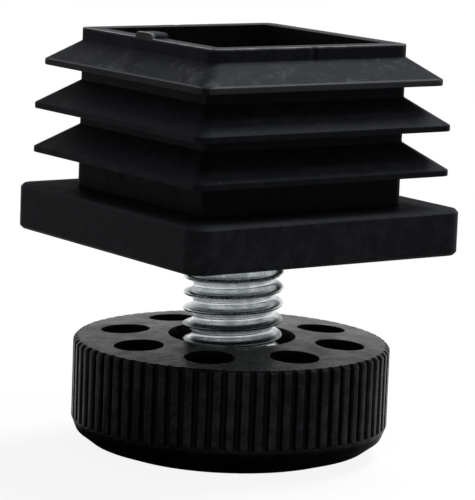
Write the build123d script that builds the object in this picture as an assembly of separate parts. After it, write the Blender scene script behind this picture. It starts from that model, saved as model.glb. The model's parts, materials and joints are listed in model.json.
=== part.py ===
from build123d import *
import math
import os

# Levelling foot for a square tube: a finned plug that is pushed into the tube's end, and a foot on a screw
# that is turned to set the height. Millimetres, +Z up along the screw, origin in the middle of the underside.

# Foot
foot_diameter = 24.6
foot_height = 9.0
top_fall = 0.4
underside_flat = 15.0
underside_rise = 2.4
underside_steps = 4
foot_top_break = 0.25
flute_count = 72
flute_depth = 0.36
flute_rib = 0.51
flute_root = 0.3
flute_margin = 0.1
core_count = 8
core_diameter = 3.8
core_rim = 1.9
core_floor = 2.0
core_turn = -1.5
recess_gap = 0.95
recess_depth = 1.0

# Screw, with its hexagon head moulded into the foot
thread_diameter = 8.0
thread_pitch = 1.25
thread_depth_per_pitch = 0.6134
stem_reach = 18.2
head_across_flats = 10.0
head_height = 4.0
head_floor = 1.6

# Height of the thread that shows between the foot and the plug
exposed_thread = 7.35

# Plug: flange and hollow body
flange_side = 25.0
flange_thickness = 3.55
flange_corner = 1.4
flange_edge_break = 0.25
insert_height = 15.9
body_side = 18.25
body_corner = 0.9
wall = 1.5
hollow_corner = 0.4
floor_thickness = 4.7
boss_wall = 1.1

# Fins on the plug, evenly spaced from the flange to the rim, the top one smaller to lead into the tube
fin_count = 3
fin_side = 23.4
top_fin_side = 22.4
fin_first = 6.05
fin_last_below_rim = 3.0
fin_tip = 0.45
fin_slope = 37.0
fin_corner = 0.95

# Marks of the mould on the plug's rim: the stub of the gate, and the line where the mould parts
gate_width = 2.25
gate_height = 0.42
gate_round = 0.36
seam_width = 0.55
seam_depth = 0.2

# Threaded bush, moulded into the plug and held by its groove
bush_wall = 1.2
bush_length = 8.5
bush_seat = 1.4
bush_groove_width = 2.4
bush_groove_depth = 0.6

# Clearances
thread_clearance = 0.05
bush_clearance = 0.05
stem_hole_clearance = 0.3

# Worked out from the sizes above
foot_radius = foot_diameter / 2
flute_bottom = underside_rise + flute_margin
thread_radius = thread_diameter / 2
thread_depth = thread_depth_per_pitch * thread_pitch
bore_radius = thread_radius + thread_clearance
bush_radius = bore_radius + bush_wall
boss_radius = bush_radius + bush_clearance + boss_wall
flange_bottom = foot_height + exposed_thread
flange_top = flange_bottom + flange_thickness
rim_height = flange_bottom + insert_height
fin_pitch = (insert_height - fin_first - fin_last_below_rim) / (fin_count - 1)
fin_sides = [fin_side] * (fin_count - 1) + [top_fin_side]
bush_bottom = flange_bottom + bush_seat
bush_top = bush_bottom + bush_length
on_base = (Align.CENTER, Align.CENTER, Align.MIN)


def prism(side, corner, bottom, top):
    """An upright square prism with rounded corners."""
    return extrude(Pos(0, 0, bottom) * RectangleRounded(side, side, corner), top - bottom)


def stem():
    """The screw: hexagon head, plain shank at the thread's outer diameter, and a chamfered end."""
    hexagon = RegularPolygon(head_across_flats / 2, 6, major_radius=False)
    head = extrude(Pos(0, 0, head_floor) * hexagon, head_height)
    shank_bottom = head_floor + head_height
    shank_length = foot_height + stem_reach - shank_bottom
    shank = Pos(0, 0, shank_bottom) * Cylinder(thread_radius, shank_length, align=on_base)
    shank = chamfer(shank.edges().group_by(Axis.Z)[-1], thread_depth)
    return head + shank


def flutes():
    """The grooves round the foot's edge, each narrower at its root."""
    mouth = 2 * math.pi * foot_radius / flute_count - flute_rib
    flare = mouth - flute_root
    outline = Polyline(
        (flute_depth, -(mouth + flare) / 2),
        (flute_depth, (mouth + flare) / 2),
        (-flute_depth, flute_root / 2),
        (-flute_depth, -flute_root / 2),
        close=True,
    )
    flute = extrude(Pos(0, 0, flute_bottom) * make_face(outline), foot_height - flute_bottom)
    return PolarLocations(foot_radius, flute_count, start_angle=180 / flute_count) * flute


def cores():
    """The blind round holes in the foot's top."""
    core_radius = core_diameter / 2
    circle_radius = foot_radius - core_rim - core_radius
    core = Pos(0, 0, core_floor) * Cylinder(core_radius, foot_height - core_floor, align=on_base)
    return PolarLocations(circle_radius, core_count, start_angle=core_turn) * core


def foot(screw):
    """The fluted disc, domed below and falling to the edge above, moulded round the screw's head."""
    flat = underside_flat / 2
    recess_radius = thread_radius + recess_gap
    edge_height = foot_height - top_fall
    dome = []
    for step in range(underside_steps + 1):
        turn = math.pi / 2 * step / underside_steps
        dome.append((flat + (foot_radius - flat) * math.sin(turn), underside_rise * (1 - math.cos(turn))))
    outline = Polyline(
        (0, 0),
        *dome,
        (foot_radius, edge_height - foot_top_break),
        (foot_radius - foot_top_break, edge_height),
        (recess_radius, foot_height),
        (0, foot_height),
        close=True,
    )
    disc = revolve(Plane.XZ * make_face(outline), Axis.Z)
    recess_bottom = Pos(0, 0, foot_height - recess_depth)
    recess = recess_bottom * Cylinder(recess_radius, recess_depth, align=on_base)
    return disc - flutes() - cores() - recess - screw


def bush_outline(grow):
    """The bush's outside as a turned solid, grown by a clearance for the cavity that holds it."""
    groove_bottom = bush_bottom + (bush_length - bush_groove_width) / 2
    outside = Cylinder(bush_radius + grow, bush_length + 2 * grow, align=on_base)
    groove_width = bush_groove_width - 2 * grow
    ring = Cylinder(bush_radius + 2 * grow, groove_width, align=on_base)
    ring -= Cylinder(bush_radius - bush_groove_depth + grow, groove_width, align=on_base)
    return Pos(0, 0, bush_bottom - grow) * outside - Pos(0, 0, groove_bottom + grow) * ring


def bush():
    """The threaded bush, with a plain bore at the thread's outer diameter."""
    return bush_outline(0) - Pos(0, 0, bush_bottom) * Cylinder(bore_radius, bush_length, align=on_base)


def fin_heights(number):
    """The heights of a fin's underside, of its tip's upper edge, and of its root on the wall."""
    underside = flange_bottom + fin_first + number * fin_pitch
    tip_top = underside + fin_tip
    reach = (fin_sides[number] - body_side) / 2
    return underside, tip_top, tip_top + reach * math.tan(math.radians(fin_slope))


def fin(number):
    """A barb round the body: flat below, a thin tip, and a slope up to the wall."""
    side = fin_sides[number]
    underside, tip_top, root_top = fin_heights(number)
    tip_outline = Pos(0, 0, tip_top) * RectangleRounded(side, side, fin_corner)
    root_outline = Pos(0, 0, root_top) * RectangleRounded(body_side, body_side, body_corner)
    return prism(side, fin_corner, underside, tip_top) + loft([tip_outline, root_outline], ruled=True)


def gate_stub():
    """The stub that the gate left, standing on the middle of one wall's rim."""
    stub = Box(wall, gate_width, gate_height, align=on_base)
    stub = fillet(stub.edges().filter_by(Axis.X).group_by(Axis.Z)[-1], min(gate_round, 0.9 * gate_height))
    return Pos((wall - body_side) / 2, 0, rim_height) * stub


def seams():
    """The shallow upright lines in the middle of two walls, from the top fin to the rim."""
    seam_bottom = fin_heights(fin_count - 1)[-1]
    seam = Box(seam_width, 2 * seam_depth, rim_height - seam_bottom, align=on_base)
    return [Pos(0, side * body_side / 2, seam_bottom) * seam for side in (-1, 1)]


def tube_insert():
    """The plug: flange, hollow finned body, and the boss round the bush."""
    plug = prism(flange_side, flange_corner, flange_bottom, flange_top)
    flange_edges = plug.edges().group_by(Axis.Z)
    plug = chamfer(flange_edges[0] + flange_edges[-1], flange_edge_break)
    plug += prism(body_side, body_corner, flange_bottom, rim_height)
    for number in range(fin_count):
        plug += fin(number)
    plug -= prism(body_side - 2 * wall, hollow_corner, flange_bottom + floor_thickness, rim_height)
    boss_bottom = Pos(0, 0, flange_bottom + floor_thickness)
    plug += boss_bottom * Cylinder(boss_radius, bush_top - flange_bottom - floor_thickness, align=on_base)
    plug += gate_stub()
    plug -= seams()
    stem_hole = Cylinder(thread_radius + stem_hole_clearance, bush_seat, align=on_base)
    return plug - Pos(0, 0, flange_bottom) * stem_hole - bush_outline(bush_clearance)


threaded_stem = stem()
pieces = {
    "tube_insert": tube_insert(),
    "threaded_bush": bush(),
    "threaded_stem": threaded_stem,
    "foot_base": foot(threaded_stem),
}

os.makedirs("parts", exist_ok=True)
for name, piece in pieces.items():
    export_step(piece, f"parts/{name}.step")
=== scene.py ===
"""Levelling foot for square tube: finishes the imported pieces, winds their threads and sets the stage."""

import json
import math

import bmesh
import bpy
from bpy.props import FloatProperty, FloatVectorProperty, IntProperty, PointerProperty
from bpy.types import Operator, Panel, PropertyGroup
from mathutils import Matrix, Vector


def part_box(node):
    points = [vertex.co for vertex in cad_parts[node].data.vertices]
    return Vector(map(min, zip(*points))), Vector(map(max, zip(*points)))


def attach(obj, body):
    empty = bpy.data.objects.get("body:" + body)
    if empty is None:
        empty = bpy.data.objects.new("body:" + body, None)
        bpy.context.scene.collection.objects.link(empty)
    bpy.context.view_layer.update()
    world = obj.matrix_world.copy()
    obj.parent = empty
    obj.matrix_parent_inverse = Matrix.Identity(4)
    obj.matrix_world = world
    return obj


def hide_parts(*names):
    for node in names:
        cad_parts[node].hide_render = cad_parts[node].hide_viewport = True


bl_info = {
    "name": "Levelling Foot",
    "version": (1, 0, 0),
    "blender": (4, 5, 0),
    "location": "View3D > Sidebar > Levelling Foot",
    "description": "Finishes a levelling foot for square tube and stands it on a plain stage",
    "category": "Object",
}

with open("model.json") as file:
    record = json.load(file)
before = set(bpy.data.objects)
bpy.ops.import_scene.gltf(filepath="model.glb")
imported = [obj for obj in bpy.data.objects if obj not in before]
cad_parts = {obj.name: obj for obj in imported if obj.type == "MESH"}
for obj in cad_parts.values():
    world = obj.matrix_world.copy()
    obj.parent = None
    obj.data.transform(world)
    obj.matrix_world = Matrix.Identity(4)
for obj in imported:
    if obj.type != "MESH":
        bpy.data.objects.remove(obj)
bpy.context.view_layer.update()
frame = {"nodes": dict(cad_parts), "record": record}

MM = 0.001
WHITE = (1.0, 1.0, 1.0, 1.0)

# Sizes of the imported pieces. The flats of the screw's hexagon head lie across Y.
FOOT_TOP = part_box("foot_base")[1].z
FOOT_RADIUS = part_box("foot_base")[1].x
STEM_LOW, STEM_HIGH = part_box("threaded_stem")
STEM_RADIUS = max(
    math.hypot(vertex.co.x, vertex.co.y)
    for vertex in frame["nodes"]["threaded_stem"].data.vertices
    if vertex.co.z > FOOT_TOP
)
HEAD_SIDES = 6
HEAD_RADIUS = (STEM_HIGH.y - STEM_LOW.y) / math.sqrt(3)
BUSH_LOW, BUSH_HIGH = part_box("threaded_bush")
BUSH_BORE = min(
    math.hypot(vertex.co.x, vertex.co.y) for vertex in frame["nodes"]["threaded_bush"].data.vertices
)
THREAD_PITCH = 2 * math.pi * frame["record"]["behaviour"]["couplings"][0]["ratio"]

# How far the thread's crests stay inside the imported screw, and how far below the foot's top the thread begins
CREST_INSET = 0.12 * MM
THREAD_SUNK = 1.1 * MM

# A thread's inputs, the spare turns below its bottom and in all, which are flattened onto its ends, and its
# ridge's outline: how far across the pitch a point lies, and how far up
THREAD_SIZES = ("Pitch", "Crest Radius", "Depth", "Phase", "Bottom", "Top")
THREAD_COUNTS = ("Turns", "Steps Per Turn", "Steps Per Pitch")
TURNS_BELOW = 2
TURNS_SPARE = 3
RIDGE_ENDS = ((0.0, 0.0), (1.0, 0.0))
RIDGE_POINTS = ((0.1, 0.04), (0.42, 0.93), (0.5, 1.0), (0.58, 0.93), (0.9, 0.04))

# Points this close are one point, and faces that turn by less than these angles are flat or are shaded round
MERGE_DISTANCE = 0.002 * MM
WELD_DISTANCE = 0.0005 * MM
FLAT_ANGLE = math.radians(0.5)
ROUND_ANGLE = math.radians(40)

# Places of a colour mix's sockets, because some share a name
MIX_FACTOR, MIX_FIRST, MIX_SECOND, MIX_RESULT = 0, 6, 7, 2

# Where the foot's finish changes, beside its top, its outside and the lower ends of its ribs: painted shade in
# the flutes and holes and on the lower band, and a grey on the ribs that is partly rubbing and partly painted
# highlight
RIB_START = (0.0, 0.4 * MM)
RIB_FACE = (-0.22 * MM, -0.04 * MM)
FLUTE_TOP = (-0.5 * MM, -0.7 * MM)
FLUTE_FLOOR = (-0.08 * MM, -0.26 * MM)
LOWER_BAND = (0.1 * MM, -0.5 * MM)

# Where the plug's finish changes, beside its rim, its top fin and its flange's upper face. They place painted
# shade in the hollow and on the flange's top, painted highlight on the rim's edge, scuffs on the top fin's
# slope, rubbing made brighter as painted highlight on its tip, and painted light on the flange's sides
HOLLOW = (-1.35 * MM, -1.5 * MM)
RIM_EDGE = (-0.45 * MM, -0.1 * MM)
RIM_FACE = (-0.2 * MM, -0.05 * MM)
FIN_START = (-0.2 * MM, 0.0)
FIN_SLOPE = (0.1 * MM, 0.4 * MM)
FIN_TIP = (-0.2 * MM, -0.05 * MM)
FLANGE_START = (-0.03 * MM, -0.005 * MM)
FLANGE_END = (0.2 * MM, 0.05 * MM)
FLANGE_SIDE = (-0.1 * MM, -0.3 * MM)

# Where painted shade lies on the screw's crests, above the foot's top and beside the screw's outside
STEM_SHADE_TOP = (1.4 * MM, 2.1 * MM)
STEM_SHADE_EDGE = (-0.6 * MM, -0.3 * MM)

# Noise values between which each kind of patch comes in
BLOOM_NOISE = (0.44, 0.62)
FLECK_NOISE = (0.58, 0.7)
# Patches of rubbing and painted highlight on the ribs, and of painted light on the rim's edge and the flange's
# sides
RUBBING_AND_LIGHT_NOISE = (0.4, 0.66)
SCUFF_NOISE = (0.5, 0.66)
GLOSS_NOISE = (0.35, 0.68)
DULL_NOISE = (0.4, 0.7)
TARNISH_NOISE = (0.42, 0.72)
METAL_NOISE = (0.35, 0.7)

# How strong each kind of patch, painted shade and painted highlight is, from its least to its most where it
# varies
# Grey on the foot's ribs: rubbing, made stronger as painted highlight
RIB_RUBBING_AND_HIGHLIGHT = (0.06, 0.24)
# Grey on the rim's outer top edge: painted highlight
RIM_PAINTED_HIGHLIGHT = (0.45, 1.0)
SLOPE_WEAR = (0.0, 0.16)
# Grey on the top fin's tip: rubbing, made stronger as painted highlight
TIP_RUBBING_AND_HIGHLIGHT = 0.3
# Grey on the flange's sides: painted light
SIDE_PAINTED_LIGHT = (0.04, 0.11)
# Darkening of the foot's lower band: painted shade
BAND_PAINTED_SHADE = 0.5
# Darkening of the flange's top: painted shade
FLANGE_PAINTED_SHADE = 0.3
GLOSS_SPREAD = (-0.08, 0.1)
DULL_ZINC = (0.0, 0.7)
# Darkening of the screw's crests near the foot: painted shade
STEM_SHADE_STRENGTH = (0.85, 0.0)
ZINC_ROUGHNESS = (0.2, 0.38)
TARNISH = (0.0, 0.6)
TARNISH_TONE = 0.62
BRASS_ROUGHNESS = (0.24, 0.42)

# Sizes and heights of fine marks, and how many times wider than high the plastic's marks are
SCUFF_SIZE = 2.4 * MM
FLECKS_PER_PATCH = 3
SWELL_FLATNESS = 30
DENT_FLATNESS = 60
GRAIN_FLATNESS = 8
ZINC_PATCH = 1.1 * MM
ZINC_GRAIN = 0.12 * MM
ZINC_GRAIN_HEIGHT = 0.012 * MM
BRASS_PATCH = 0.9 * MM
TOOL_RING = 0.09 * MM
TOOL_RING_HEIGHT = 0.01 * MM


class MouldedEdges(PropertyGroup):
    """How sharp the edges of the moulded and turned pieces are."""

    plug_round: FloatProperty(
        name="Plug edges",
        description="Radius on the edges of the plug's fins and rim",
        default=0.14 * MM,
        subtype="DISTANCE",
        precision=5,
    )
    foot_round: FloatProperty(
        name="Foot edges",
        description="Radius on the edges of the foot's flutes and holes",
        default=0.14 * MM,
        subtype="DISTANCE",
        precision=5,
    )
    bush_round: FloatProperty(
        name="Bush edges",
        description="Break on the edges of the turned bush",
        default=0.15 * MM,
        subtype="DISTANCE",
        precision=5,
    )
    round_steps: IntProperty(name="Steps", description="Faces across a rounded edge", default=2, min=1)
    sharp_angle: FloatProperty(
        name="Sharp angle",
        description="Edges that turn by more than this are rounded",
        default=math.radians(28),
        subtype="ANGLE",
    )


class ScrewThread(PropertyGroup):
    """The thread of the screw and the bush, and the head that the foot is moulded round."""

    pitch: FloatProperty(
        name="Pitch", description="Rise in one turn", default=THREAD_PITCH, subtype="DISTANCE", precision=5
    )
    crest_radius: FloatProperty(
        name="Crest radius",
        description="Radius over the thread's crests",
        default=STEM_RADIUS - CREST_INSET,
        subtype="DISTANCE",
        precision=5,
    )
    depth: FloatProperty(
        name="Depth", description="Height of the thread", default=0.76 * MM, subtype="DISTANCE", precision=5
    )
    end_bevel: FloatProperty(
        name="End bevel",
        description="How far the screw's end narrows",
        default=0.77 * MM,
        subtype="DISTANCE",
        precision=5,
    )
    phase: FloatProperty(
        name="Phase",
        description="Height of a crest on the X side",
        default=0.495 * MM,
        subtype="DISTANCE",
        precision=5,
    )
    plain_top: FloatProperty(
        name="Plain shank",
        description="Height where the plain shank ends and the thread begins",
        default=FOOT_TOP - THREAD_SUNK,
        subtype="DISTANCE",
        precision=5,
    )
    run_out: FloatProperty(
        name="Run-out",
        description="Height over which the thread reaches its full depth",
        default=0.8 * MM,
        subtype="DISTANCE",
        precision=5,
    )
    head_height: FloatProperty(
        name="Head height",
        description="Height of the hexagon head in the foot",
        default=4.0 * MM,
        subtype="DISTANCE",
        precision=5,
    )
    bush_gap: FloatProperty(
        name="Bush gap",
        description="Play between the screw's thread and the bush's",
        default=0.1 * MM,
        subtype="DISTANCE",
        precision=5,
    )
    groove_width: FloatProperty(
        name="Groove width",
        description="Width of the groove that holds the bush in the plug",
        default=2.4 * MM,
        subtype="DISTANCE",
        precision=5,
    )
    groove_depth: FloatProperty(
        name="Groove depth",
        description="Depth of the groove that holds the bush in the plug",
        default=0.6 * MM,
        subtype="DISTANCE",
        precision=5,
    )
    steps_per_turn: IntProperty(
        name="Steps per turn",
        description="Faces round the screw",
        default=72,
        min=12,
    )
    steps_per_pitch: IntProperty(
        name="Steps per pitch",
        description="Faces across one thread",
        default=16,
        min=6,
    )


class MarkAndLightPlaces(PropertyGroup):
    """Where the plastic's rubbing, painted shade and painted highlights lie."""

    rib_foot: FloatProperty(
        name="Rib foot",
        description="Height where the foot's flutes begin",
        default=2.5 * MM,
        subtype="DISTANCE",
        precision=5,
    )
    rim_side: FloatProperty(
        name="Rim side",
        description="Outside width of the plug's rim",
        default=18.25 * MM,
        subtype="DISTANCE",
        precision=5,
    )
    rim_top: FloatProperty(
        name="Rim top",
        description="Height of the plug's rim",
        default=32.25 * MM,
        subtype="DISTANCE",
        precision=5,
    )
    flange_top: FloatProperty(
        name="Flange top",
        description="Height of the flange's upper face",
        default=19.9 * MM,
        subtype="DISTANCE",
        precision=5,
    )
    fin_reach: FloatProperty(
        name="Top fin reach",
        description="From the middle of the plug to the tip of its top fin",
        default=11.2 * MM,
        subtype="DISTANCE",
        precision=5,
    )
    fin_level: FloatProperty(
        name="Top fin level",
        description="Height of the top fin's underside",
        default=29.25 * MM,
        subtype="DISTANCE",
        precision=5,
    )


class Finishes(PropertyGroup):
    """Colours and surfaces of the plastic, the zinc and the brass."""

    plastic_dark: FloatVectorProperty(
        name="Plastic", description="Black of the plastic", default=(0.0205, 0.022, 0.026), subtype="COLOR"
    )
    plastic_bloom: FloatVectorProperty(
        name="Plastic bloom",
        description="Grey where the plastic is scuffed or flowed unevenly",
        default=(0.05, 0.0525, 0.058),
        subtype="COLOR",
    )
    # Grey of rubbing, also used as painted highlight on the ribs, the rim's edge and the top fin's tip and as
    # painted light on the flange's sides
    plastic_rubbing_and_light: FloatVectorProperty(
        name="Rubbing and painted light",
        description="Grey of rubbing, also used as painted highlight and painted light",
        default=(0.32, 0.33, 0.345),
        subtype="COLOR",
    )
    # Painted shade: black in the foot's flutes and holes and the plug's hollow, darker on the foot's lower band
    # and the flange's top
    plastic_painted_shade: FloatVectorProperty(
        name="Painted shade plastic",
        description="Black painted shade in hollows, flutes and holes, and on some faces",
        default=(0.006, 0.0065, 0.0075),
        subtype="COLOR",
    )
    plastic_sheen: FloatVectorProperty(
        name="Plastic sheen",
        description="Tint of the plastic's reflections",
        default=(0.84, 0.91, 1.0),
        subtype="COLOR",
    )
    plastic_shine: FloatProperty(
        name="Plastic shine", description="Strength of the plastic's reflections", default=0.03, min=0, max=1
    )
    plastic_dull: FloatProperty(
        name="Dull plastic",
        description="Strength of the reflections where the plastic is dull",
        default=0.003,
        min=0,
        max=1,
        precision=4,
    )
    plug_roughness: FloatProperty(
        name="Plug roughness", description="How matt the plug is", default=0.58, min=0, max=1
    )
    foot_roughness: FloatProperty(
        name="Foot roughness", description="How matt the foot is", default=0.28, min=0, max=1
    )
    bloom: FloatProperty(
        name="Bloom", description="Strength of the grey bloom in patches", default=0.42, min=0, max=1
    )
    flecks: FloatProperty(
        name="Flecks", description="Strength of the small grey flecks", default=0.7, min=0, max=1
    )
    grain_size: FloatProperty(
        name="Grain",
        description="Size of the mould's fine texture",
        default=0.11 * MM,
        subtype="DISTANCE",
        precision=5,
    )
    mottle_size: FloatProperty(
        name="Mottle",
        description="Size of the dull and bright patches",
        default=1.6 * MM,
        subtype="DISTANCE",
        precision=5,
    )
    zinc: FloatVectorProperty(
        name="Zinc", description="Colour of the zinc plating", default=(0.66, 0.69, 0.70), subtype="COLOR"
    )
    zinc_dull: FloatVectorProperty(
        name="Dull zinc",
        description="Colour of the plating's dull patches",
        default=(0.42, 0.45, 0.46),
        subtype="COLOR",
    )
    # Painted shade: darker colour for the screw's crests just above the foot
    stem_painted_shade: FloatVectorProperty(
        name="Painted stem shade", description="Grime near the foot", default=(0.05, 0.055, 0.06), subtype="COLOR"
    )
    brass: FloatVectorProperty(
        name="Brass", description="Colour of the bush", default=(0.72, 0.55, 0.25), subtype="COLOR"
    )


class StudioStage(PropertyGroup):
    """Camera, lights and floor."""

    azimuth: FloatProperty(
        name="Azimuth",
        description="Direction of the camera round the foot",
        default=math.radians(-35.62),
        subtype="ANGLE",
    )
    elevation: FloatProperty(
        name="Elevation",
        description="Height angle of the camera",
        default=math.radians(9.385),
        subtype="ANGLE",
    )
    roll: FloatProperty(
        name="Roll",
        description="Lean of the camera about its own axis",
        default=math.radians(2.188),
        subtype="ANGLE",
    )
    distance: FloatProperty(
        name="Distance", description="From the camera to its target", default=219.92 * MM, subtype="DISTANCE"
    )
    aim_height: FloatProperty(
        name="Aim height",
        description="Height of the camera's target",
        default=15.621 * MM,
        subtype="DISTANCE",
    )
    aim_aside: FloatProperty(
        name="Aim aside",
        description="How far the camera stands to the right of its target",
        default=0.187 * MM,
        subtype="DISTANCE",
        precision=5,
    )
    lens: FloatProperty(name="Lens", description="Focal length in millimetres", default=204.73)
    nearest: FloatProperty(
        name="Nearest",
        description="Nearest distance that the camera shows",
        default=10 * MM,
        subtype="DISTANCE",
    )
    floor_size: FloatProperty(name="Floor", description="Side of the floor", default=4.0, subtype="DISTANCE")
    floor_glow: FloatProperty(
        name="Floor white",
        description="White that the floor shows without any light",
        default=0.9,
        min=0,
        max=1,
    )
    floor_tone: FloatProperty(
        name="Floor tone",
        description="Share of light that shows the shadow on the floor",
        default=0.1,
        min=0,
        max=1,
    )
    floor_bounce: FloatProperty(
        name="Floor bounce",
        description="Share of light that the floor throws back at the foot",
        default=0.05,
        min=0,
        max=1,
    )
    key_strength: FloatProperty(name="Key light", description="Strength of the soft light above", default=3.1)
    key_aside: FloatProperty(
        name="Key aside",
        description="Direction of the light above, to the right of the camera",
        default=math.radians(135),
        subtype="ANGLE",
    )
    key_elevation: FloatProperty(
        name="Key elevation",
        description="Height angle of the light above",
        default=math.radians(60),
        subtype="ANGLE",
    )
    key_softness: FloatProperty(
        name="Key softness",
        description="Width of the light above, as an angle",
        default=math.radians(25),
        subtype="ANGLE",
    )
    fill_strength: FloatProperty(name="Fill light", description="Strength of the light in front", default=0.3)
    fill_aside: FloatProperty(
        name="Fill aside",
        description="Direction of the light in front, to the right of the camera",
        default=math.radians(32),
        subtype="ANGLE",
    )
    fill_elevation: FloatProperty(
        name="Fill elevation",
        description="Height angle of the light in front",
        default=math.radians(68),
        subtype="ANGLE",
    )
    fill_softness: FloatProperty(
        name="Fill softness",
        description="Width of the light in front, as an angle",
        default=math.radians(12),
        subtype="ANGLE",
    )
    room_strength: FloatProperty(
        name="Room light", description="Soft light from all round", default=0.06, min=0, max=1
    )


class LevellingFootSettings(PropertyGroup):
    """All the settings of the levelling foot."""

    edges: PointerProperty(type=MouldedEdges)
    thread: PointerProperty(type=ScrewThread)
    marks_and_light: PointerProperty(type=MarkAndLightPlaces)
    finishes: PointerProperty(type=Finishes)
    stage: PointerProperty(type=StudioStage)


def settings():
    """The settings kept on the scene."""
    return bpy.context.scene.levelling_foot


def feed(tree, socket, value):
    """Links a value to a socket, or sets it there."""
    if isinstance(value, bpy.types.NodeSocket):
        tree.links.new(value, socket)
    else:
        socket.default_value = value


def add_node(tree, kind, inputs=None, **options):
    """Adds a node, sets its options, and links or sets its inputs."""
    made = tree.nodes.new(kind)
    for name, value in options.items():
        setattr(made, name, value)
    for socket, value in (inputs or {}).items():
        feed(tree, made.inputs[socket], value)
    return made


def math_node(tree, operation, *values):
    """Adds a Math node and returns its result."""
    return add_node(tree, "ShaderNodeMath", dict(enumerate(values)), operation=operation).outputs[0]


def map_range(tree, value, span, result=(0.0, 1.0), smooth=True):
    """Adds a Map Range node from a span of values to one of results, and returns its result."""
    kind = "SMOOTHSTEP" if smooth else "LINEAR"
    ends = {
        "Value": value,
        "From Min": span[0],
        "From Max": span[1],
        "To Min": result[0],
        "To Max": result[1],
    }
    return add_node(tree, "ShaderNodeMapRange", ends, interpolation_type=kind).outputs["Result"]


def noise(tree, coordinates, size, detail, roughness):
    """Adds a Noise Texture whose patches have the given size, and returns its value."""
    inputs = {"Vector": coordinates, "Scale": 1 / size, "Detail": detail, "Roughness": roughness}
    return add_node(tree, "ShaderNodeTexNoise", inputs).outputs["Fac"]


def mix_colours(tree, factor, first, second):
    """Adds a colour mix and returns its result."""
    mixed = add_node(tree, "ShaderNodeMix", data_type="RGBA")
    for place, value in ((MIX_FACTOR, factor), (MIX_FIRST, first), (MIX_SECOND, second)):
        feed(tree, mixed.inputs[place], value)
    return mixed.outputs[MIX_RESULT]


def bump(tree, height, strength, distance, normal=None):
    """Adds a Bump node and returns its normal."""
    inputs = {"Height": height, "Strength": strength, "Distance": distance}
    if normal is not None:
        inputs["Normal"] = normal
    return add_node(tree, "ShaderNodeBump", inputs).outputs["Normal"]


def new_material(name):
    """A material with nodes, and its tree, shader and Object coordinates."""
    material = bpy.data.materials.new(name)
    material.use_nodes = True
    tree = material.node_tree
    shader = tree.nodes["Principled BSDF"]
    coordinates = tree.nodes.new("ShaderNodeTexCoord").outputs["Object"]
    return material, tree, shader, coordinates


def opaque(colour):
    """A colour with full alpha."""
    return (*colour, 1.0)


def round_axis(tree, coordinates):
    """A point's distance from the screw's axis, and its height."""
    parts = add_node(tree, "ShaderNodeSeparateXYZ", {"Vector": coordinates}).outputs
    square = math_node(tree, "MULTIPLY", parts["X"], parts["X"])
    square = math_node(tree, "MULTIPLY_ADD", parts["Y"], parts["Y"], square)
    return math_node(tree, "SQRT", square), parts["Z"]


def beside(level, offsets):
    """The two values beside a level that are given by two offsets from it."""
    return level + offsets[0], level + offsets[1]


def product(tree, first, *others):
    """Multiplies values."""
    for value in others:
        first = math_node(tree, "MULTIPLY", first, value)
    return first


def mix_shade_and_rubbing(tree, colour, painted_shade_share, rubbing_and_highlight_share, dull):
    """A plastic's colour and shine, with shares for black painted shade, grey rubbing and painted highlight,
    and dull places.
    """
    finish = settings().finishes
    colour = mix_colours(tree, painted_shade_share, colour, opaque(finish.plastic_painted_shade))
    colour = mix_colours(tree, rubbing_and_highlight_share, colour, opaque(finish.plastic_rubbing_and_light))
    shine = map_range(tree, dull, (0.0, 1.0), (finish.plastic_shine, finish.plastic_dull), smooth=False)
    return colour, shine


def foot_rubbing_and_painted_light(tree, coordinates, mottle, colour):
    """The foot's colour and shine: painted shade, black in the flutes and holes and darker on the lower band,
    grey on the ribs from rubbing and painted highlight, and dull on the lower band.
    """
    rib_foot = settings().marks_and_light.rib_foot
    radius, height = round_axis(tree, coordinates)
    above = map_range(tree, height, beside(rib_foot, RIB_START))
    below = map_range(tree, height, beside(FOOT_TOP, FLUTE_TOP))
    inner = map_range(tree, radius, beside(FOOT_RADIUS, FLUTE_FLOOR))
    band = map_range(tree, height, beside(rib_foot, LOWER_BAND))
    # Painted shade: black in the flutes and holes, and darker on the lower band
    painted_shade_share = math_node(tree, "MAXIMUM", product(tree, above, below, inner), product(tree, band, BAND_PAINTED_SHADE))
    # Grey on the ribs: rubbing, made stronger as painted highlight
    outer = map_range(tree, radius, beside(FOOT_RADIUS, RIB_FACE))
    rubbing_and_highlight_share = product(tree, outer, above, map_range(tree, mottle, RUBBING_AND_LIGHT_NOISE, RIB_RUBBING_AND_HIGHLIGHT))
    return mix_shade_and_rubbing(tree, colour, painted_shade_share, rubbing_and_highlight_share, band)


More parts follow.
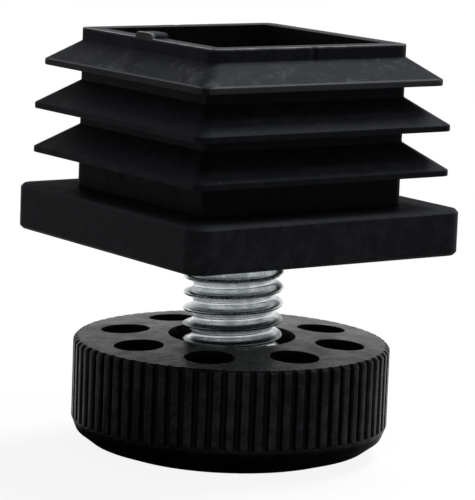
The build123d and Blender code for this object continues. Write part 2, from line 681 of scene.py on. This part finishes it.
def plug_rubbing_and_painted_light(tree, coordinates, mottle, colour):
    """The plug's colour and shine: painted shade, black in the hollow and darker on the flange's top; painted
    highlight on the rim's edge, scuffs on the top fin and rubbing with painted highlight on its tip; painted
    light on the flange's sides; dull on the flange's top.
    """
    marks_and_light = settings().marks_and_light
    parts = add_node(tree, "ShaderNodeSeparateXYZ", {"Vector": coordinates}).outputs
    sides = [math_node(tree, "ABSOLUTE", parts[axis]) for axis in ("X", "Y")]
    across, height = math_node(tree, "MAXIMUM", *sides), parts["Z"]
    half = marks_and_light.rim_side / 2

    # Painted shade: black in the hollow and darker on the flange's top
    hollow = map_range(tree, across, beside(half, HOLLOW))
    above = map_range(tree, height, beside(marks_and_light.flange_top, FLANGE_START))
    below = map_range(tree, height, beside(marks_and_light.flange_top, FLANGE_END))
    flange = product(tree, above, below)
    painted_shade_share = math_node(tree, "MAXIMUM", hollow, product(tree, flange, FLANGE_PAINTED_SHADE))

    # Painted highlight along the rim's outer top edge, in patches
    edge = map_range(tree, across, beside(half, RIM_EDGE))
    face = map_range(tree, height, beside(marks_and_light.rim_top, RIM_FACE))
    rim = product(tree, edge, face, map_range(tree, mottle, RUBBING_AND_LIGHT_NOISE, RIM_PAINTED_HIGHLIGHT))

    scuffs = noise(tree, coordinates, SCUFF_SIZE, detail=4.0, roughness=0.65)
    scuffs = map_range(tree, scuffs, SCUFF_NOISE, SLOPE_WEAR)
    slope = product(tree, map_range(tree, across, beside(half, FIN_SLOPE)), scuffs)
    # Rubbing on the top fin's tip, made brighter as painted highlight
    tip = product(tree, map_range(tree, across, beside(marks_and_light.fin_reach, FIN_TIP)), TIP_RUBBING_AND_HIGHLIGHT)
    fin = map_range(tree, height, beside(marks_and_light.fin_level, FIN_START))
    fin = product(tree, fin, math_node(tree, "MAXIMUM", slope, tip))

    # Painted light on the flange's sides, in patches
    side = map_range(tree, height, beside(marks_and_light.flange_top, FLANGE_SIDE))
    side = product(tree, side, map_range(tree, mottle, RUBBING_AND_LIGHT_NOISE, SIDE_PAINTED_LIGHT))
    rubbing_and_highlight_share = math_node(tree, "MAXIMUM", math_node(tree, "MAXIMUM", rim, fin), side)
    return mix_shade_and_rubbing(tree, colour, painted_shade_share, rubbing_and_highlight_share, flange)


def moulded_plastic(name, roughness, marks_and_light):
    """Black plastic with a fine mould texture, uneven gloss, a little pale bloom, and a piece's own rubbing,
    painted shade and painted highlights.
    """
    finish = settings().finishes
    material, tree, shader, coordinates = new_material(name)
    grain = noise(tree, coordinates, finish.grain_size, detail=2.0, roughness=0.6)
    mottle = noise(tree, coordinates, finish.mottle_size, detail=5.0, roughness=0.7)
    specks = noise(tree, coordinates, finish.mottle_size / FLECKS_PER_PATCH, detail=3.0, roughness=0.6)
    bloom = map_range(tree, mottle, BLOOM_NOISE, (0.0, finish.bloom))
    flecks = map_range(tree, specks, FLECK_NOISE, (0.0, finish.flecks))
    pale = math_node(tree, "MAXIMUM", bloom, flecks)
    colour = mix_colours(tree, pale, opaque(finish.plastic_dark), opaque(finish.plastic_bloom))
    colour, shine = marks_and_light(tree, coordinates, mottle, colour)
    gloss = map_range(tree, mottle, GLOSS_NOISE, beside(roughness, GLOSS_SPREAD), smooth=False)
    swell = bump(tree, mottle, strength=0.5, distance=finish.mottle_size / SWELL_FLATNESS)
    dents = bump(tree, specks, strength=0.35, distance=finish.mottle_size / DENT_FLATNESS, normal=swell)
    texture = bump(tree, grain, strength=0.3, distance=finish.grain_size / GRAIN_FLATNESS, normal=dents)
    tree.links.new(colour, shader.inputs["Base Color"])
    tree.links.new(shine, shader.inputs["Specular IOR Level"])
    tree.links.new(gloss, shader.inputs["Roughness"])
    tree.links.new(texture, shader.inputs["Normal"])
    shader.inputs["Specular Tint"].default_value = opaque(finish.plastic_sheen)
    return material


def zinc_plate(name):
    """Bright zinc plating with dull patches, a fine grain, and painted shade on the thread's crests near the
    foot.
    """
    finish = settings().finishes
    material, tree, shader, coordinates = new_material(name)
    patches = noise(tree, coordinates, ZINC_PATCH, detail=4.0, roughness=0.6)
    fine = noise(tree, coordinates, ZINC_GRAIN, detail=3.0, roughness=0.6)
    dull = map_range(tree, patches, DULL_NOISE, DULL_ZINC)
    colour = mix_colours(tree, dull, opaque(finish.zinc), opaque(finish.zinc_dull))
    radius, height = round_axis(tree, coordinates)
    # Painted shade: the crests darken just above the foot's top
    low = map_range(tree, height, beside(FOOT_TOP, STEM_SHADE_TOP), STEM_SHADE_STRENGTH)
    outer = map_range(tree, radius, beside(STEM_RADIUS, STEM_SHADE_EDGE))
    colour = mix_colours(tree, product(tree, low, outer), colour, opaque(finish.stem_painted_shade))
    gloss = map_range(tree, patches, METAL_NOISE, ZINC_ROUGHNESS, smooth=False)
    tree.links.new(colour, shader.inputs["Base Color"])
    tree.links.new(gloss, shader.inputs["Roughness"])
    texture = bump(tree, fine, strength=0.18, distance=ZINC_GRAIN_HEIGHT)
    tree.links.new(texture, shader.inputs["Normal"])
    shader.inputs["Metallic"].default_value = 1.0
    return material


def turned_brass(name):
    """Brass with tarnished patches and the rings that the turning tool left."""
    finish = settings().finishes
    material, tree, shader, coordinates = new_material(name)
    across = math_node(tree, "ADD", *round_axis(tree, coordinates))
    rings = math_node(tree, "SINE", math_node(tree, "MULTIPLY", across, 2 * math.pi / TOOL_RING))
    patches = noise(tree, coordinates, BRASS_PATCH, detail=4.0, roughness=0.6)
    dark = tuple(TARNISH_TONE * part for part in finish.brass)
    tarnish = map_range(tree, patches, TARNISH_NOISE, TARNISH)
    colour = mix_colours(tree, tarnish, opaque(finish.brass), opaque(dark))
    gloss = map_range(tree, patches, METAL_NOISE, BRASS_ROUGHNESS, smooth=False)
    tree.links.new(colour, shader.inputs["Base Color"])
    tree.links.new(gloss, shader.inputs["Roughness"])
    texture = bump(tree, rings, strength=0.2, distance=TOOL_RING_HEIGHT)
    tree.links.new(texture, shader.inputs["Normal"])
    shader.inputs["Metallic"].default_value = 1.0
    return material


def join_scene(name, mesh):
    """Links a mesh to the scene as a piece at the origin."""
    piece = bpy.data.objects.new(name, mesh)
    bpy.context.scene.collection.objects.link(piece)
    return piece


def plain_mesh(piece):
    """Applies a piece's modifiers and leaves it with a plain mesh."""
    depsgraph = bpy.context.evaluated_depsgraph_get()
    mesh = bpy.data.meshes.new_from_object(piece.evaluated_get(depsgraph))
    piece.modifiers.clear()
    piece.data = mesh
    mesh.name = piece.name
    return piece


def rounded_copy(node, name, radius, material):
    """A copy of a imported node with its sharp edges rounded."""
    edges = settings().edges
    mesh = bpy.data.meshes.new(name)
    shape = bmesh.new()
    shape.from_mesh(frame["nodes"][node].data)
    bmesh.ops.remove_doubles(shape, verts=shape.verts, dist=WELD_DISTANCE)
    bmesh.ops.dissolve_limit(
        shape,
        angle_limit=FLAT_ANGLE,
        verts=shape.verts,
        edges=shape.edges,
        use_dissolve_boundaries=False,
    )
    for face in shape.faces:
        face.smooth = True
    shape.to_mesh(mesh)
    shape.free()
    mesh.materials.clear()
    mesh.materials.append(material)
    piece = join_scene(name, mesh)
    bevel = piece.modifiers.new("Rounded edges", "BEVEL")
    bevel.width = radius
    bevel.segments = edges.round_steps
    bevel.limit_method = "ANGLE"
    bevel.angle_limit = edges.sharp_angle
    bevel.miter_outer = "MITER_ARC"
    bevel.use_clamp_overlap = True
    weld = piece.modifiers.new("Joined points", "WELD")
    weld.merge_threshold = WELD_DISTANCE
    shading = piece.modifiers.new("Even shading", "WEIGHTED_NORMAL")
    shading.mode = "FACE_AREA"
    return plain_mesh(piece)


def thread_tree(name, sizes):
    """A Geometry Nodes tree with a thread's inputs and some more sizes, and those inputs."""
    tree = bpy.data.node_groups.new(name, "GeometryNodeTree")
    for size in (*THREAD_SIZES, *sizes):
        tree.interface.new_socket(size, in_out="INPUT", socket_type="NodeSocketFloat")
    for count in THREAD_COUNTS:
        tree.interface.new_socket(count, in_out="INPUT", socket_type="NodeSocketInt")
    tree.interface.new_socket("Geometry", in_out="OUTPUT", socket_type="NodeSocketGeometry")
    return tree, tree.nodes.new("NodeGroupInput").outputs


def wound_sheet(tree, given, radius_at):
    """A sheet wound along the thread, its radius given by a point's height and the thread's ridge there."""
    columns = math_node(tree, "MULTIPLY_ADD", given["Turns"], given["Steps Per Turn"], 1.0)
    rows = math_node(tree, "ADD", given["Steps Per Pitch"], 1.0)
    sheet = add_node(
        tree,
        "GeometryNodeMeshGrid",
        {"Size X": given["Turns"], "Size Y": 1.0, "Vertices X": columns, "Vertices Y": rows},
    ).outputs["Mesh"]
    position = tree.nodes.new("GeometryNodeInputPosition").outputs[0]
    place = add_node(tree, "ShaderNodeSeparateXYZ", {0: position})
    turn = math_node(tree, "ADD", place.outputs["X"], math_node(tree, "MULTIPLY", given["Turns"], 0.5))
    share = math_node(tree, "ADD", place.outputs["Y"], 0.5)

    lowest = math_node(tree, "MULTIPLY_ADD", given["Pitch"], -TURNS_BELOW, given["Bottom"])
    behind = math_node(tree, "SUBTRACT", given["Phase"], lowest)
    offset = math_node(tree, "FLOORED_MODULO", behind, given["Pitch"])
    first = math_node(tree, "ADD", lowest, offset)
    rise = math_node(tree, "SUBTRACT", math_node(tree, "ADD", turn, share), 0.5)
    free_height = math_node(tree, "MULTIPLY_ADD", rise, given["Pitch"], first)
    above = math_node(tree, "MAXIMUM", free_height, given["Bottom"])
    height = math_node(tree, "MINIMUM", above, given["Top"])

    ridge = add_node(tree, "ShaderNodeFloatCurve", {"Value": share})
    curve = ridge.mapping.curves[0]
    for point, location in zip(curve.points, RIDGE_ENDS):
        point.location = location
    for across, up in RIDGE_POINTS:
        curve.points.new(across, up)
    ridge.mapping.update()

    radius = radius_at(height, ridge.outputs[0])
    angle = math_node(tree, "MULTIPLY", turn, 2 * math.pi)
    spot = add_node(
        tree,
        "ShaderNodeCombineXYZ",
        {
            "X": math_node(tree, "MULTIPLY", radius, math_node(tree, "COSINE", angle)),
            "Y": math_node(tree, "MULTIPLY", radius, math_node(tree, "SINE", angle)),
            "Z": height,
        },
    ).outputs[0]
    return add_node(tree, "GeometryNodeSetPosition", {"Geometry": sheet, "Position": spot}).outputs[0]


def merged(tree, geometry):
    """Joins the points of a geometry that lie in one place."""
    inputs = {"Geometry": geometry, "Distance": MERGE_DISTANCE}
    return add_node(tree, "GeometryNodeMergeByDistance", inputs).outputs[0]


def finish_tree(tree, geometry, material):
    """Ends a tree with plain geometry in one material."""
    real = add_node(tree, "GeometryNodeRealizeInstances", {"Geometry": geometry}).outputs[0]
    finished = add_node(tree, "GeometryNodeSetMaterial", {"Geometry": real, "Material": material}).outputs[0]
    add_node(tree, "NodeGroupOutput", {"Geometry": finished})


def screw_tree(material):
    """Geometry Nodes for the screw: a wound thread, closed at both ends, on a hexagon head."""
    sizes = ("End Bevel", "Plain Top", "Run Out", "Head Bottom", "Head Radius")
    tree, given = thread_tree("Screw thread", sizes)
    end_radius = math_node(tree, "SUBTRACT", given["Crest Radius"], given["End Bevel"])
    run_out_end = math_node(tree, "ADD", given["Plain Top"], given["Run Out"])

    def radius_at(height, ridge):
        cut = math_node(tree, "SUBTRACT", 1.0, ridge)
        fade = map_range(tree, height, (given["Plain Top"], run_out_end))
        depth = product(tree, cut, fade, given["Depth"])
        wound = math_node(tree, "SUBTRACT", given["Crest Radius"], depth)
        cone = math_node(tree, "ADD", end_radius, math_node(tree, "SUBTRACT", given["Top"], height))
        return math_node(tree, "MINIMUM", wound, cone)

    def cap(size, level, turned):
        inputs = {"Vertices": given["Steps Per Turn"], "Radius": size}
        disc = add_node(tree, "GeometryNodeMeshCircle", inputs, fill_type="NGON").outputs[0]
        if turned:
            disc = add_node(tree, "GeometryNodeFlipFaces", {"Mesh": disc}).outputs[0]
        lift = add_node(tree, "ShaderNodeCombineXYZ", {"Z": level}).outputs[0]
        return add_node(tree, "GeometryNodeTransform", {"Geometry": disc, "Translation": lift}).outputs[0]

    wall = wound_sheet(tree, given, radius_at)
    joined = tree.nodes.new("GeometryNodeJoinGeometry")
    end = cap(end_radius, given["Top"], False)
    root = cap(given["Crest Radius"], given["Bottom"], True)
    for shell in (wall, end, root):
        tree.links.new(shell, joined.inputs[0])

    head_height = math_node(tree, "SUBTRACT", given["Bottom"], given["Head Bottom"])
    head = add_node(
        tree,
        "GeometryNodeMeshCylinder",
        {"Vertices": HEAD_SIDES, "Radius": given["Head Radius"], "Depth": head_height},
    ).outputs["Mesh"]
    head_middle = math_node(tree, "MULTIPLY_ADD", head_height, 0.5, given["Head Bottom"])
    head_lift = add_node(tree, "ShaderNodeCombineXYZ", {"Z": head_middle}).outputs[0]
    head = add_node(tree, "GeometryNodeTransform", {"Geometry": head, "Translation": head_lift}).outputs[0]
    whole = tree.nodes.new("GeometryNodeJoinGeometry")
    tree.links.new(merged(tree, joined.outputs[0]), whole.inputs[0])
    tree.links.new(head, whole.inputs[0])
    finish_tree(tree, whole.outputs[0], material)
    return tree


def bore_tree(material):
    """Geometry Nodes for the bush's bore: the screw's thread with some play, opened by a cone at each end."""
    tree, given = thread_tree("Bush thread", ("Gap", "Bore Radius"))

    def radius_at(height, ridge):
        cut = math_node(tree, "SUBTRACT", 1.0, ridge)
        crest = math_node(tree, "ADD", given["Crest Radius"], given["Gap"])
        radius = math_node(tree, "SUBTRACT", crest, math_node(tree, "MULTIPLY", cut, given["Depth"]))
        for ends in ((height, given["Bottom"]), (given["Top"], height)):
            inward = math_node(tree, "SUBTRACT", *ends)
            cone = math_node(tree, "SUBTRACT", given["Bore Radius"], inward)
            radius = math_node(tree, "MAXIMUM", radius, cone)
        return radius

    bore = add_node(tree, "GeometryNodeFlipFaces", {"Mesh": wound_sheet(tree, given, radius_at)}).outputs[0]
    finish_tree(tree, merged(tree, bore), material)
    return tree


def thread_values(bottom, top):
    """The inputs that the screw's and the bush's threads share, between two heights."""
    thread = settings().thread
    return {
        "Pitch": thread.pitch,
        "Crest Radius": thread.crest_radius,
        "Depth": thread.depth,
        "Phase": thread.phase,
        "Bottom": bottom,
        "Top": top,
        "Turns": math.ceil((top - bottom) / thread.pitch) + TURNS_SPARE,
        "Steps Per Turn": thread.steps_per_turn,
        "Steps Per Pitch": thread.steps_per_pitch,
    }


def bush_profile():
    """Radii and heights of the bush's grooved outside, from its lower to its upper edge."""
    thread, corner = settings().thread, settings().edges.bush_round
    middle = (BUSH_LOW.z + BUSH_HIGH.z) / 2
    end = BUSH_LOW.z - middle
    radius, groove = BUSH_HIGH.x, BUSH_HIGH.x - thread.groove_depth
    half = thread.groove_width / 2
    lower = [
        (BUSH_BORE, end),
        (radius - corner, end),
        (radius, end + corner),
        (radius, -half - corner),
        (radius - corner, -half),
        (groove, -half),
    ]
    upper = [(across, -height) for across, height in reversed(lower)]
    return [(across, middle + height) for across, height in lower + upper]


def turned_outside(mesh, profile, steps):
    """Closes a bore with a turned outside, given by radii and heights from its lower to its upper edge."""
    shape = bmesh.new()
    shape.from_mesh(mesh)
    shape.faces.ensure_lookup_table()
    finish = shape.faces[0].material_index
    angles = [2 * math.pi * step / steps for step in range(steps)]
    rings = [
        [shape.verts.new((radius * math.cos(angle), radius * math.sin(angle), height)) for angle in angles]
        for radius, height in profile
    ]
    for lower, upper in zip(rings, rings[1:]):
        for step in range(steps):
            face = shape.faces.new((lower[step - 1], lower[step], upper[step], upper[step - 1]))
            face.material_index = finish
    bmesh.ops.remove_doubles(shape, verts=shape.verts, dist=MERGE_DISTANCE)
    bmesh.ops.recalc_face_normals(shape, faces=shape.faces)
    shape.to_mesh(mesh)
    shape.free()


def shade_round(mesh):
    """Shades a turned mesh smooth, with its sharp edges kept."""
    mesh.polygons.foreach_set("use_smooth", [True] * len(mesh.polygons))
    mesh.set_sharp_from_angle(angle=ROUND_ANGLE)


def set_inputs(modifier, values):
    """Sets a Geometry Nodes modifier's inputs, found by name, through their identifiers."""
    for socket in modifier.node_group.interface.items_tree:
        if socket.in_out == "INPUT":
            modifier[socket.identifier] = values[socket.name]


class LEVELLING_FOOT_OT_plug(Operator):
    """Round the moulded plug's edges and give it its black plastic"""

    bl_idname = "levelling_foot.plug"
    bl_label = "Plug"

    def execute(self, context):
        material = moulded_plastic("Plug plastic", settings().finishes.plug_roughness, plug_rubbing_and_painted_light)
        plug = rounded_copy("tube_insert", "finned_plug", settings().edges.plug_round, material)
        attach(plug, "plug")
        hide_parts("tube_insert")
        return {"FINISHED"}


class LEVELLING_FOOT_OT_bush(Operator):
    """Turn the bush, cut its thread and give it its brass"""

    bl_idname = "levelling_foot.bush"
    bl_label = "Bush"

    def execute(self, context):
        thread = settings().thread
        bush = join_scene("brass_bush", bpy.data.meshes.new("brass_bush"))
        cut = bush.modifiers.new("Bush thread", "NODES")
        cut.node_group = bore_tree(turned_brass("Turned brass"))
        values = thread_values(BUSH_LOW.z, BUSH_HIGH.z)
        set_inputs(cut, {**values, "Gap": thread.bush_gap, "Bore Radius": BUSH_BORE})
        plain_mesh(bush)
        turned_outside(bush.data, bush_profile(), thread.steps_per_turn)
        shade_round(bush.data)
        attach(bush, "plug")
        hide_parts("threaded_bush")
        return {"FINISHED"}


class LEVELLING_FOOT_OT_screw(Operator):
    """Wind the screw's thread and plate it with zinc"""

    bl_idname = "levelling_foot.screw"
    bl_label = "Screw"

    def execute(self, context):
        thread = settings().thread
        screw = join_scene("zinc_screw", bpy.data.meshes.new("zinc_screw"))
        wind = screw.modifiers.new("Screw thread", "NODES")
        wind.node_group = screw_tree(zinc_plate("Zinc plate"))
        ends = {
            "End Bevel": thread.end_bevel,
            "Plain Top": thread.plain_top,
            "Run Out": thread.run_out,
            "Head Bottom": STEM_LOW.z,
            "Head Radius": HEAD_RADIUS,
        }
        set_inputs(wind, {**thread_values(STEM_LOW.z + thread.head_height, STEM_HIGH.z), **ends})
        plain_mesh(screw)
        shade_round(screw.data)
        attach(screw, "foot")
        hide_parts("threaded_stem")
        return {"FINISHED"}


class LEVELLING_FOOT_OT_base(Operator):
    """Round the fluted foot's edges and give it its black plastic"""

    bl_idname = "levelling_foot.base"
    bl_label = "Foot"

    def execute(self, context):
        material = moulded_plastic("Foot plastic", settings().finishes.foot_roughness, foot_rubbing_and_painted_light)
        base = rounded_copy("foot_base", "fluted_foot", settings().edges.foot_round, material)
        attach(base, "foot")
        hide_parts("foot_base")
        return {"FINISHED"}


def seen_rays(tree):
    """Tells the rays that show a surface, also through glass, and those that show it in a mirror."""
    path = tree.nodes.new("ShaderNodeLightPath").outputs
    seen = math_node(tree, "MAXIMUM", path["Is Camera Ray"], path["Is Transmission Ray"])
    return seen, path["Is Glossy Ray"]


def white_room(strength):
    """A world that shows white and lights the foot softly."""
    world = bpy.data.worlds.new("White room")
    world.use_nodes = True
    tree = world.node_tree
    tree.nodes.clear()
    light = add_node(tree, "ShaderNodeBackground", {"Color": WHITE, "Strength": strength}).outputs[0]
    white = add_node(tree, "ShaderNodeBackground", {"Color": WHITE, "Strength": 1.0}).outputs[0]
    seen = math_node(tree, "MAXIMUM", *seen_rays(tree))
    mixed = add_node(tree, "ShaderNodeMixShader", {0: seen, 1: light, 2: white}).outputs[0]
    add_node(tree, "ShaderNodeOutputWorld", {"Surface": mixed})
    bpy.context.scene.world = world


def pale_floor(stage):
    """A floor that shows white and keeps the foot's soft shadow."""
    half = stage.floor_size / 2
    corners = [(-half, -half, 0), (half, -half, 0), (half, half, 0), (-half, half, 0)]
    mesh = bpy.data.meshes.new("floor")
    mesh.from_pydata(corners, [], [(0, 1, 2, 3)])
    floor = join_scene("floor", mesh)
    material = bpy.data.materials.new("White floor")
    material.use_nodes = True
    tree = material.node_tree
    tree.nodes.clear()

    def matt(share):
        return add_node(tree, "ShaderNodeBsdfDiffuse", {"Color": opaque([share] * 3)}).outputs[0]

    glow = {"Color": WHITE, "Strength": stage.floor_glow}
    white = add_node(tree, "ShaderNodeEmission", glow).outputs[0]
    shown = add_node(tree, "ShaderNodeAddShader", {0: white, 1: matt(stage.floor_tone)}).outputs[0]
    seen, glossy = seen_rays(tree)
    hidden = {0: glossy, 1: matt(stage.floor_bounce), 2: matt(1.0)}
    unseen = add_node(tree, "ShaderNodeMixShader", hidden).outputs[0]
    mixed = add_node(tree, "ShaderNodeMixShader", {0: seen, 1: unseen, 2: shown}).outputs[0]
    add_node(tree, "ShaderNodeOutputMaterial", {"Surface": mixed})
    mesh.materials.append(material)


def direction(azimuth, elevation):
    """The direction from the foot at an azimuth, where 0 is the front, and a height angle."""
    flat = Vector((math.sin(azimuth), -math.cos(azimuth), 0.0))
    return flat * math.cos(elevation) + Vector((0.0, 0.0, math.sin(elevation)))


def soft_sun(name, strength, softness, toward):
    """One broad light from a direction."""
    lamp = bpy.data.lights.new(name, "SUN")
    lamp.energy = strength
    lamp.angle = softness
    light = bpy.data.objects.new(name, lamp)
    light.rotation_euler = toward.to_track_quat("Z", "Y").to_euler()
    bpy.context.scene.collection.objects.link(light)


def photo_camera(stage):
    """The camera at the photograph's viewing angle."""
    back = direction(stage.azimuth, stage.elevation)
    level_right = Vector((math.cos(stage.azimuth), math.sin(stage.azimuth), 0.0))
    level_up = back.cross(level_right)
    right = level_right * math.cos(stage.roll) + level_up * math.sin(stage.roll)
    up = level_up * math.cos(stage.roll) - level_right * math.sin(stage.roll)
    lens = bpy.data.cameras.new("Camera")
    lens.lens = stage.lens
    lens.clip_start = stage.nearest
    camera = bpy.data.objects.new("Camera", lens)
    place = Vector((0.0, 0.0, stage.aim_height)) + back * stage.distance + right * stage.aim_aside
    camera.matrix_world = Matrix.Translation(place) @ Matrix((right, up, back)).transposed().to_4x4()
    bpy.context.scene.collection.objects.link(camera)
    bpy.context.scene.camera = camera


class LEVELLING_FOOT_OT_stage(Operator):
    """Set the white floor, the soft light and the camera"""

    bl_idname = "levelling_foot.stage"
    bl_label = "Stage"

    def execute(self, context):
        stage = settings().stage
        white_room(stage.room_strength)
        pale_floor(stage)
        key = direction(stage.azimuth + stage.key_aside, stage.key_elevation)
        soft_sun("Key light", stage.key_strength, stage.key_softness, key)
        fill = direction(stage.azimuth + stage.fill_aside, stage.fill_elevation)
        soft_sun("Fill light", stage.fill_strength, stage.fill_softness, fill)
        photo_camera(stage)
        context.scene.view_settings.view_transform = "Standard"
        return {"FINISHED"}


class LEVELLING_FOOT_PT_sidebar(Panel):
    """Lists the pieces and their settings."""

    bl_idname = "LEVELLING_FOOT_PT_sidebar"
    bl_label = "Levelling Foot"
    bl_space_type = "VIEW_3D"
    bl_region_type = "UI"
    bl_category = "Levelling Foot"

    def draw(self, context):
        for operator in OPERATORS:
            self.layout.operator(operator.bl_idname)
        groups = context.scene.levelling_foot
        for group in (groups.edges, groups.thread, groups.marks_and_light, groups.finishes, groups.stage):
            box = self.layout.box()
            for name in group.__annotations__:
                box.prop(group, name)


GROUPS = (MouldedEdges, ScrewThread, MarkAndLightPlaces, Finishes, StudioStage, LevellingFootSettings)
OPERATORS = (
    LEVELLING_FOOT_OT_plug,
    LEVELLING_FOOT_OT_bush,
    LEVELLING_FOOT_OT_screw,
    LEVELLING_FOOT_OT_base,
    LEVELLING_FOOT_OT_stage,
)
CLASSES = (*GROUPS, *OPERATORS, LEVELLING_FOOT_PT_sidebar)


def register():
    """Registers the classes and puts the settings on the scene."""
    for member in CLASSES:
        bpy.utils.register_class(member)
    bpy.types.Scene.levelling_foot = PointerProperty(type=LevellingFootSettings)


def unregister():
    """Takes the settings and the classes away."""
    del bpy.types.Scene.levelling_foot
    for member in reversed(CLASSES):
        bpy.utils.unregister_class(member)


def main():
    """Makes every piece and the stage."""
    register()
    bpy.ops.levelling_foot.plug()
    bpy.ops.levelling_foot.bush()
    bpy.ops.levelling_foot.screw()
    bpy.ops.levelling_foot.base()
    bpy.ops.levelling_foot.stage()


if __name__ == "__main__":
    main()
